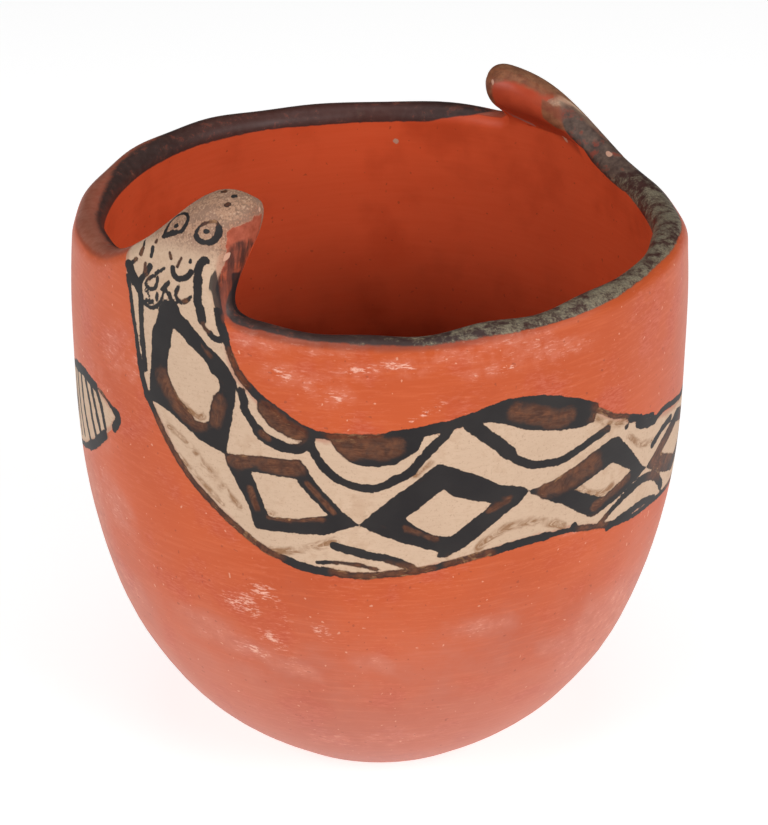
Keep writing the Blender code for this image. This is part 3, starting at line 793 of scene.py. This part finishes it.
def wear_fields(flat, layout_of_heads):
    """Wear of wall and heads, with painted shade on the crowns and painted sheen at the left, 0 to 1."""
    outward = flat[:, 1] - CREST_RUN
    worn = {name: np.zeros(len(flat)) for name in (
        "bared", "sooty", "inky", "ruddy", "browned", "rubbed", "worn", "chip", "grime_and_shade", "haze_and_sheen", "scrape")}
    worn["edge"] = np.full(len(flat), NEAR)

    def add(name, near, share):
        worn[name][near] = np.maximum(worn[name][near], smooth_step(share))

    roots = []
    for head, layout, patches in zip(SNAKE_HEADS, layout_of_heads, HEAD_WEAR):
        root = (flat[:, 0] - head["throat"] * RIM_RADIUS - SNAKE_START) % AROUND + SNAKE_START
        over = np.stack([root, outward], 1)
        roots.append(over)
        for name, softness, outline in patches:
            near = points_near(over, outline)
            depth = depth_in_patch(over[near], outline)
            add(name, near, 0.5 + depth / softness)
            worn["edge"][near] = np.minimum(worn["edge"][near], np.abs(depth))
        low, high = GRIME_AND_SHADE_CLIMB
        add("grime_and_shade", np.arange(len(flat)), (layout[:, 1] - low) / (high - low))
    for head, x, over, radius in CHIPS:
        depth = radius - np.linalg.norm(roots[head] - (x, over), axis=1)
        add("chip", np.arange(len(flat)), 0.5 + depth / CHIP_SOFTNESS)
        worn["edge"] = np.minimum(worn["edge"], np.abs(depth))
    wall = on_jar(flat)
    wall = np.stack([np.arctan2(wall[:, 0], -wall[:, 1]) * RIM_RADIUS, wall[:, 2]], 1)
    outside = np.flatnonzero(outward > 0.0)
    for x, height, around, up in HAZES_AND_SHEEN:
        away = (wall[outside, 0] - x + AROUND / 2) % AROUND - AROUND / 2
        add("haze_and_sheen", outside, HAZE_CORE - np.hypot(away / around, (wall[outside, 1] - height) / up))
    for width, line in SCRAPES:
        line = smooth_line(line)
        near = np.intersect1d(points_near(wall, line), outside)
        add("scrape", near, 0.5 + depth_in_stroke(wall[near], width, line) / SCRAPE_SOFTNESS)
    return worn


# Brush streaks follow a stroke, so their pattern moves on by this share of the way along it
BRUSH_DRIFT = 0.45
# Above this climb the slip and its paint reach over the crest of a head
CROWN_CLIMB = 168.0
INSIDE_SOFTNESS = 4.0
MM_PER_METRE = 1000.0


def wall_fields(tube):
    """Every painted field for the points of the tube, and where the points lie on the jar."""
    flat = flat_points(tube)
    points = on_jar(flat)
    outward = flat[:, 1] - CREST_RUN
    fields = {name: np.full(len(flat), NO_PAINT) for name in ("slip", "paint", "smear")}
    fields.update({name: np.zeros(len(flat)) for name in ("across", "thin")})
    layouts = [snake_layout(points, head) for head in SNAKE_HEADS]
    for layout, over_crest in zip(layouts, OVER_CREST):
        painted = (outward > 0.0) | ((outward > -NEAR) & (layout[:, 1] > CROWN_CLIMB))
        part = {name: field[painted] for name, field in fields.items()}
        paint_snake(part, layout[painted], outward[painted], over_crest)
        for name in part:
            fields[name][painted] = part[name]
    second = (flat[:, 0] - SNAKE_HEADS[1]["throat"] * RIM_RADIUS - SNAKE_START) % AROUND + SNAKE_START
    over_crest = np.stack([second, outward], 1)
    remnant = points_near(over_crest, SLIP_REMNANT)
    lay_on(fields, "slip", remnant, depth_in_patch(over_crest[remnant], SLIP_REMNANT))
    fields.update(rim_fields(flat, layouts[0][:, 1], fields["slip"]))
    fields.update(wear_fields(flat, layouts))
    fields["inside"] = smooth_step(0.5 - outward / INSIDE_SOFTNESS)
    fields["height"] = points[:, 2]
    return points, fields


def jar_surface():
    """The jar's surface with its painted fields, refined along their edges."""
    tube = section_tube()
    size = COARSE_STEP
    for turn in range(HALVINGS + 1):
        points, fields = wall_fields(tube)
        edges = np.min([np.abs(fields[name]) for name in ("slip", "paint", "rim_depth", "edge")], axis=0)
        wanted = edges < EDGE_SHARE * size
        if turn == 0:
            wanted |= points[:, 2] > RIM_HEIGHT - DRAWN_DEPTH
        if turn == HALVINGS:
            wanted = np.abs(fields["paint"]) < FINEST_EDGE
            wanted &= (fields["slip"] > 0) & (points[:, 2] > FINEST_ABOVE)
        halve_faces(tube, wanted)
        size /= 2
    points, fields = wall_fields(tube)
    for vertex, point in zip(tube.verts, points / MM_PER_METRE):
        vertex.co = point
    mesh = bpy.data.meshes.new("jar_surface")
    tube.to_mesh(mesh)
    tube.free()
    brush = points * BRUSH_DRIFT + fields["across"][:, None]
    mesh.attributes.new("brush", "FLOAT_VECTOR", "POINT").data.foreach_set(
        "vector", brush.astype(np.float32).ravel())
    for name, values in fields.items():
        attribute = mesh.attributes.new(name, "FLOAT", "POINT")
        attribute.data.foreach_set("value", values.astype(np.float32))
    return bpy.data.objects.new("jar_surface", mesh)


jar = jar_surface()
bpy.context.scene.collection.objects.link(jar)


# The clay and its paints
# Fired clay under burnished red slip, which gives it a low satin sheen. The cream slip is matt
# and grainy, and the paint is thin black-brown mineral paint that dulls the sheen.
# A pattern is noise from 0 to 1: what it lies on, the size of its features in millimetres, its
# detail and roughness, and how many times longer than high it is. The real grain and polishing
# strokes are about 0.2 mm across, and are drawn coarser so that they show.
PATTERNS = {
    "broad": ("clay", 40.0, 2.0, 0.50, 1.0),
    "cloudy": ("clay", 14.0, 4.0, 0.50, 1.0),
    "patchy": ("clay", 5.0, 4.0, 0.55, 1.0),
    "uneven": ("clay", 2.2, 3.0, 0.60, 1.0),
    "grain": ("clay", 0.6, 2.0, 0.60, 1.0),
    "dots": ("clay", 1.3, 0.0, 0.50, 1.0),
    "burnish": ("clay", 1.0, 4.0, 0.60, 14.0),
    "level": ("clay", 0.6, 4.0, 0.70, 4.0),
    "upright": ("clay", 9.0, 4.0, 0.60, 0.18),
    "streak": ("brush", 1.3, 3.0, 0.60, 1.0),
}
# A gate opens smoothly where a weighted sum of patterns and painted fields goes from one value
# to another. A layer shows where all its gates are open.
SLIPPED = ({"slip": 1.0, "uneven": 1.2, "grain": 0.25}, 0.53, 0.83)
PAINTED = ({"paint": 1.0, "uneven": 1.2, "grain": 0.25}, 0.55, 0.80)
THINNED = ({"paint": 1.0, "uneven": 1.2, "grain": 0.25, "thin": 0.2}, 0.48, 1.05)
RIM_PAINTED = ({"rim": 1.0, "uneven": 1.4, "patchy": 0.6}, 0.5, 1.5)
OUTSIDE = ({"inside": 1.0}, 0.6, 0.4)
INSIDE = ({"inside": 1.0}, 0.0, 1.0)
# Where the crowns are grimy and painted darker as shade
GRIMED_AND_SHADED = ({"grime_and_shade": 1.0}, 0.0, 1.0)
# Each layer, from the clay up: darker and lighter colour, the pattern that mixes them, how much
# it covers, its roughness and its specular level, and its gates
LAYERS = (
    # Red slip, duller in places, with level strokes from burnishing
    ("#B54E27", "#BF552B", "broad", 1.0, 0.42, 0.18, ()),
    ("#C6603A", "#C6603A", "broad", 0.55, 0.40, 0.18, (({"burnish": 1.0}, 0.46, 0.72),)),
    ("#B04529", "#B04529", "broad", 0.7, 0.45, 0.18, (({"cloudy": 1.0}, 0.50, 0.75),)),
    ("#D0765C", "#D0765C", "broad", 0.35, 0.45, 0.20, (OUTSIDE, ({"level": 1.0, "cloudy": 0.7}, 0.86, 1.10))),
    # Pale dust that clings lower down and where the slip is rubbed, and painted sheen over the
    # hazes at the left side
    ("#9C9492", "#AA9F9B", "patchy", 0.20, 0.55, 0.20, (
        OUTSIDE, ({"height": 1.0, "cloudy": 60.0, "level": 30.0, "haze_and_sheen": -32.0}, 136.0, 68.0))),
    # Inside, with faint level strokes, and painted shade that darkens it towards the floor
    ("#DB5731", "#DE5B35", "burnish", 1.0, 0.45, 0.20, (INSIDE,)),
    ("#BC4322", "#BC4322", "cloudy", 0.55, 0.45, 0.20, (INSIDE, ({"cloudy": 1.0, "broad": 0.6}, 0.74, 1.10))),
    # Painted shade, deepening towards the floor inside
    ("#601809", "#6C1E0D", "cloudy", 0.92, 0.60, 0.06, (
        INSIDE, ({"height": 1.0, "cloudy": 30.0}, 138.0, 78.0))),
    # Hazes, at the left side painted sheen, scrapes, light grains and pits of the red slip
    ("#CC755C", "#D0806A", "grain", 0.35, 0.50, 0.25, (
        ({"haze_and_sheen": 1.0}, 0.0, 1.0), ({"patchy": 1.0, "uneven": 0.6}, 0.60, 0.98))),
    ("#DDA38E", "#DDA38E", "grain", 0.40, 0.50, 0.25, (
        ({"haze_and_sheen": 1.0}, 0.0, 1.0), ({"level": 1.0, "patchy": 0.4, "haze_and_sheen": 0.05}, 0.80, 0.95))),
    ("#DD9F8A", "#E7B7A3", "grain", 0.85, 0.50, 0.25, (
        ({"scrape": 1.0}, 0.0, 0.8), ({"level": 1.0, "patchy": 0.3, "scrape": 0.14}, 0.73, 0.86))),
    ("#DBA68C", "#DBA68C", "grain", 0.5, 0.50, 0.25, (OUTSIDE, ({"dots": 1.0}, 0.81, 0.85))),
    ("#6B2A1A", "#6B2A1A", "grain", 0.35, 0.50, 0.25, (({"dots": 1.0}, 0.20, 0.16),)),
    # Clay bared on the snouts
    ("#8C412D", "#B05C46", "uneven", 0.9, 0.55, 0.15, (({"bared": 1.0, "uneven": 0.8}, 0.60, 1.10),)),
    ("#9C3A24", "#B0462C", "patchy", 0.75, 0.38, 0.30, (({"ruddy": 1.0, "patchy": 0.4}, 0.3, 1.1),)),
    # Cream slip, reddish where it thins out at its edge, with its dirt, and grime and painted shade
    # that darken the crowns higher up
    ("#C1A48B", "#C8AB92", "cloudy", 1.0, 0.62, 0.20, (SLIPPED,)),
    ("#B79980", "#B79980", "grain", 0.6, 0.62, 0.20, (SLIPPED, ({"level": 1.0}, 0.45, 0.75))),
    ("#8F7058", "#8F7058", "grain", 0.35, 0.62, 0.20, (SLIPPED, ({"grain": 1.0}, 0.58, 0.72))),
    ("#AE8C70", "#AE8C70", "broad", 0.45, 0.62, 0.20, (SLIPPED, ({"cloudy": 1.0, "uneven": 0.5}, 0.74, 1.0))),
    ("#A4604A", "#A4604A", "broad", 0.50, 0.62, 0.20, (
        SLIPPED, ({"slip": 1.0, "uneven": 1.6, "patchy": 1.0}, 3.2, 1.9))),
    # Grime and painted shade, darker higher up the crowns
    ("#9A6C52", "#9A6C52", "broad", 0.66, 0.62, 0.20, (SLIPPED, GRIMED_AND_SHADED)),
    ("#5E4A3D", "#86695A", "patchy", 0.66, 0.62, 0.20, (
        SLIPPED, ({"grime_and_shade": 1.0}, 0.1, 0.9), ({"grain": 1.0, "uneven": 0.6, "patchy": 0.5}, 0.96, 1.16))),
    ("#CDB79F", "#CDB79F", "grain", 0.35, 0.62, 0.20, (
        SLIPPED, ({"grime_and_shade": 1.0}, 0.2, 1.0), ({"grain": 1.0, "level": 0.5}, 0.66, 0.54))),
    ("#6E422E", "#926244", "uneven", 0.9, 0.50, 0.25, (
        ({"browned": 1.0}, 0.05, 0.4), ({"browned": 1.0, "patchy": 1.2, "uneven": 0.6}, 0.95, 1.60))),
    ("#6A4632", "#6A4632", "uneven", 0.5, 0.50, 0.25, (
        ({"browned": 1.0}, 0.3, 0.9), ({"patchy": 1.0, "grain": 0.6}, 0.84, 0.98))),
    # Soot in the throats, with upright streaks
    ("#4A2820", "#7A4234", "uneven", 0.9, 0.60, 0.12, (({"sooty": 1.2, "upright": 1.4}, 1.45, 2.15),)),
    ("#2C2220", "#2C2220", "upright", 0.8, 0.60, 0.12, (
        ({"sooty": 1.0}, 0.2, 0.8), ({"upright": 1.0, "uneven": 0.4}, 0.60, 0.82))),
    # Dry brushing, and the paint, brown where it is thin and black where it is not
    ("#7F5530", "#7F5530", "streak", 0.85, 0.60, 0.20, (
        ({"smear": 1.0, "uneven": 1.2}, -0.1, 1.3), ({"streak": 1.0}, 0.32, 0.62))),
    ("#3E1C0E", "#6C3A1D", "uneven", 0.94, 0.55, 0.20, (THINNED,)),
    ("#35190F", "#35190F", "streak", 0.6, 0.55, 0.20, (
        PAINTED, ({"streak": 1.0, "patchy": 0.8}, 0.80, 1.06))),
    ("#2E1A13", "#2E1A13", "streak", 0.6, 0.55, 0.20, (
        PAINTED, ({"paint": 1.0, "uneven": 1.2, "patchy": 1.0}, 1.70, 1.10))),
    ("#AC7F57", "#AC7F57", "streak", 0.6, 0.55, 0.20, (
        PAINTED, ({"thin": 1.0, "streak": 1.0, "patchy": 1.0, "paint": -0.15}, 1.96, 2.24))),
    ("#1F1B1C", "#292524", "cloudy", 1.0, 0.55, 0.20, (
        PAINTED, ({"thin": 0.8, "streak": 0.8, "patchy": 1.2}, 1.90, 1.20))),
    # Red-brown stain, pinkish grey where strongest, which is partly painted sheen; rim paint over
    # it, rubbed to grey-brown and mottled; and last the chips
    ("#7A3828", "#904836", "patchy", 0.70, 0.50, 0.25, (({"stain_and_sheen": 1.0, "patchy": 0.5}, 0.35, 1.1),)),
    # Pinkish grey of the strongest stain on the left lip, partly painted sheen
    ("#8A5646", "#A57664", "uneven", 0.55, 0.50, 0.25, (({"stain_and_sheen": 1.0, "uneven": 0.5}, 1.05, 1.5),)),
    ("#272322", "#352F2E", "uneven", 0.93, 0.48, 0.30, (RIM_PAINTED,)),
    ("#584038", "#584038", "cloudy", 0.45, 0.50, 0.30, (
        RIM_PAINTED, ({"patchy": 1.0, "level": 0.6}, 0.80, 1.04))),
    ("#7E3F30", "#7E3F30", "cloudy", 0.50, 0.50, 0.30, (
        RIM_PAINTED, ({"uneven": 1.0, "grain": 0.5, "patchy": 0.6, "mottling": -0.2}, 1.10, 1.26))),
    ("#6A6356", "#948970", "grain", 0.85, 0.55, 0.25, (
        RIM_PAINTED, ({"mottling": 0.45, "uneven": 0.7, "patchy": 0.8, "grain": 0.3}, 1.18, 1.46))),
    ("#493B36", "#705D51", "uneven", 0.82, 0.50, 0.20, (({"rubbed": 1.0, "patchy": 0.6}, 0.6, 1.3),)),
    ("#8A3626", "#8A3626", "uneven", 0.7, 0.50, 0.25, (
        ({"rubbed": 1.0}, 0.2, 0.9), ({"patchy": 1.0, "uneven": 0.6}, 0.86, 1.02))),
    ("#231F20", "#231F20", "grain", 0.9, 0.55, 0.20, (({"inky": 1.0, "patchy": 0.4}, 0.3, 0.85),)),
    ("#A8847A", "#A8847A", "grain", 0.8, 0.55, 0.25, (({"worn": 1.0}, 0.2, 0.8),)),
    ("#C0917A", "#CE9F88", "patchy", 0.95, 0.55, 0.25, (({"chip": 1.0, "uneven": 0.8}, 0.7, 0.95),)),
)


def colour(code):
    """Linear colour from an sRGB hex code."""
    values = [int(code[start:start + 2], 16) / 255 for start in (1, 3, 5)]
    return (*[v / 12.92 if v <= 0.04045 else ((v + 0.055) / 1.055) ** 2.4 for v in values], 1.0)


def node(tree, kind, inputs=(), output=0, **settings):
    """Add a node, with its settings, its inputs set or linked, and return one of its outputs."""
    made = tree.nodes.new(kind)
    for name, value in settings.items():
        setattr(made, name, value)
    for socket, value in dict(inputs).items():
        if isinstance(value, bpy.types.NodeSocket):
            tree.links.new(value, made.inputs[socket])
        else:
            made.inputs[socket].default_value = value
    return made.outputs[output]


# Noise seldom leaves this range, which the two colours of a layer share out
NOISE_LOW, NOISE_HIGH = 0.33, 0.67
# Hollows of the scraped wall and the fine strokes of its polish, as bumps in metres
HAND_BUMP = {"Strength": 0.5, "Distance": 0.0012}
SKIN_BUMP = {"Strength": 0.2, "Distance": 0.0002}


def painted_clay():
    """The material: the layers laid over each other, with their finish."""
    material = bpy.data.materials.new("burnished_painted_clay")
    material.use_nodes = True
    tree = material.node_tree
    shader = tree.nodes["Principled BSDF"]
    coordinates = {
        "clay": node(tree, "ShaderNodeTexCoord", output="Object"),
        "brush": node(tree, "ShaderNodeAttribute", output="Vector", attribute_name="brush"),
    }
    # The clay is measured in metres, and the brush marks in millimetres
    unit = {"clay": MM_PER_METRE, "brush": 1.0}
    sources = {}
    for name, (lies_on, size, detail, roughness, long) in PATTERNS.items():
        high = unit[lies_on] / size
        place_on = node(tree, "ShaderNodeMapping", {
            "Vector": coordinates[lies_on], "Scale": (high / long, high / long, high)})
        sources[name] = node(tree, "ShaderNodeTexNoise", {
            "Vector": place_on, "Scale": 1.0, "Detail": detail, "Roughness": roughness})
    surface = (1.0, 1.0, 1.0, 1.0)
    rough = specular = 0.5
    for dark, light, pattern, cover, roughness, level, gates in LAYERS:
        share = cover
        for weights, closed, opened in gates:
            total = 0.0
            for name, weight in weights.items():
                if name not in sources:
                    sources[name] = node(tree, "ShaderNodeAttribute", output="Fac", attribute_name=name)
                total = node(tree, "ShaderNodeMath", {
                    0: sources[name], 1: weight, 2: total}, operation="MULTIPLY_ADD")
            share = node(tree, "ShaderNodeMapRange", {
                "Value": total, "From Min": closed, "From Max": opened, "To Max": share},
                interpolation_type="SMOOTHSTEP")
        tone = colour(dark)
        if light != dark:
            blend = node(tree, "ShaderNodeMapRange", {
                "Value": sources[pattern], "From Min": NOISE_LOW, "From Max": NOISE_HIGH})
            tone = node(tree, "ShaderNodeMix", {0: blend, 6: tone, 7: colour(light)}, 2, data_type="RGBA")
        surface = node(tree, "ShaderNodeMix", {0: share, 6: surface, 7: tone}, 2, data_type="RGBA")
        rough = node(tree, "ShaderNodeMix", {0: share, 2: rough, 3: roughness})
        specular = node(tree, "ShaderNodeMix", {0: share, 2: specular, 3: level})
    hand = node(tree, "ShaderNodeBump", {"Height": sources["broad"], **HAND_BUMP})
    skin = node(tree, "ShaderNodeBump", {"Height": sources["burnish"], "Normal": hand, **SKIN_BUMP})
    finish = {"Base Color": surface, "Roughness": rough, "Specular IOR Level": specular, "Normal": skin}
    for socket, value in finish.items():
        tree.links.new(value, shader.inputs[socket])
    return material


jar.data.materials.append(painted_clay())
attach(jar, "root")
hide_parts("jar")


# The floor
# A sheet of white plastic under the jar, glowing a little of itself so that it is nearly white all over.
FLOOR_SPAN = 6.0
SHEET_WHITE = "#D2D2D2"
SHEET_ROUGHNESS = 0.8
SHEET_GLOW = 0.70
bpy.ops.mesh.primitive_plane_add(size=FLOOR_SPAN)
floor = bpy.context.object
floor.name = "floor"
sheet = bpy.data.materials.new("white_plastic_sheet")
sheet.use_nodes = True
sheet_shader = sheet.node_tree.nodes["Principled BSDF"]
sheet_shader.inputs["Base Color"].default_value = colour(SHEET_WHITE)
sheet_shader.inputs["Roughness"].default_value = SHEET_ROUGHNESS
sheet_shader.inputs["Emission Color"].default_value = (1.0, 1.0, 1.0, 1.0)
sheet_shader.inputs["Emission Strength"].default_value = SHEET_GLOW
floor.data.materials.append(sheet)


# The lights
# Two large soft panels in front at the left and right, and a weaker one overhead.
ROOM_GLOW = 0.04
PANEL_AIM = Vector((0.0, 0.0, 0.09))
# Each panel's place and width in metres, and its power in watts
PANELS = (
    ("left_panel", (-1.1, -0.9, 0.75), 0.9, 13.0),
    ("right_panel", (1.1, -0.9, 0.75), 0.9, 15.5),
    ("overhead_panel", (0.0, -0.1, 1.4), 0.9, 5.0),
)
world = bpy.data.worlds.new("studio")
world.use_nodes = True
world.node_tree.nodes["Background"].inputs["Color"].default_value = (1, 1, 1, 1)
world.node_tree.nodes["Background"].inputs["Strength"].default_value = ROOM_GLOW
bpy.context.scene.world = world
for name, place_of_panel, size, power in PANELS:
    lamp = bpy.data.lights.new(name, "AREA")
    lamp.size = size
    lamp.energy = power
    panel = bpy.data.objects.new(name, lamp)
    panel.location = place_of_panel
    panel.rotation_euler = (PANEL_AIM - panel.location).to_track_quat("-Z", "Y").to_euler()
    bpy.context.scene.collection.objects.link(panel)


# The camera
# A long lens a metre away, looking down at the jar.
CAMERA_DISTANCE = 1.0
CAMERA_PITCH = math.radians(27.17)
FOCAL_PIXELS = 3408.1
IMAGE_WIDTH, IMAGE_HEIGHT = 768, 825
AIM_HEIGHT = 0.080
AIM_PIXEL = (379.5, 462.7)
SENSOR_HEIGHT = 24.0
camera = bpy.data.objects.new("camera", bpy.data.cameras.new("camera"))
camera.data.sensor_fit = "VERTICAL"
camera.data.sensor_height = SENSOR_HEIGHT
camera.data.lens = FOCAL_PIXELS / IMAGE_HEIGHT * SENSOR_HEIGHT
camera.data.shift_x = (IMAGE_WIDTH / 2 - AIM_PIXEL[0]) / IMAGE_HEIGHT
camera.data.shift_y = (AIM_PIXEL[1] - IMAGE_HEIGHT / 2) / IMAGE_HEIGHT
camera.location = (
    0.0, -CAMERA_DISTANCE * math.cos(CAMERA_PITCH), AIM_HEIGHT + CAMERA_DISTANCE * math.sin(CAMERA_PITCH))
camera.rotation_euler = (math.pi / 2 - CAMERA_PITCH, 0.0, 0.0)
bpy.context.scene.collection.objects.link(camera)
bpy.context.scene.camera = camera
bpy.context.scene.view_settings.view_transform = "Standard"
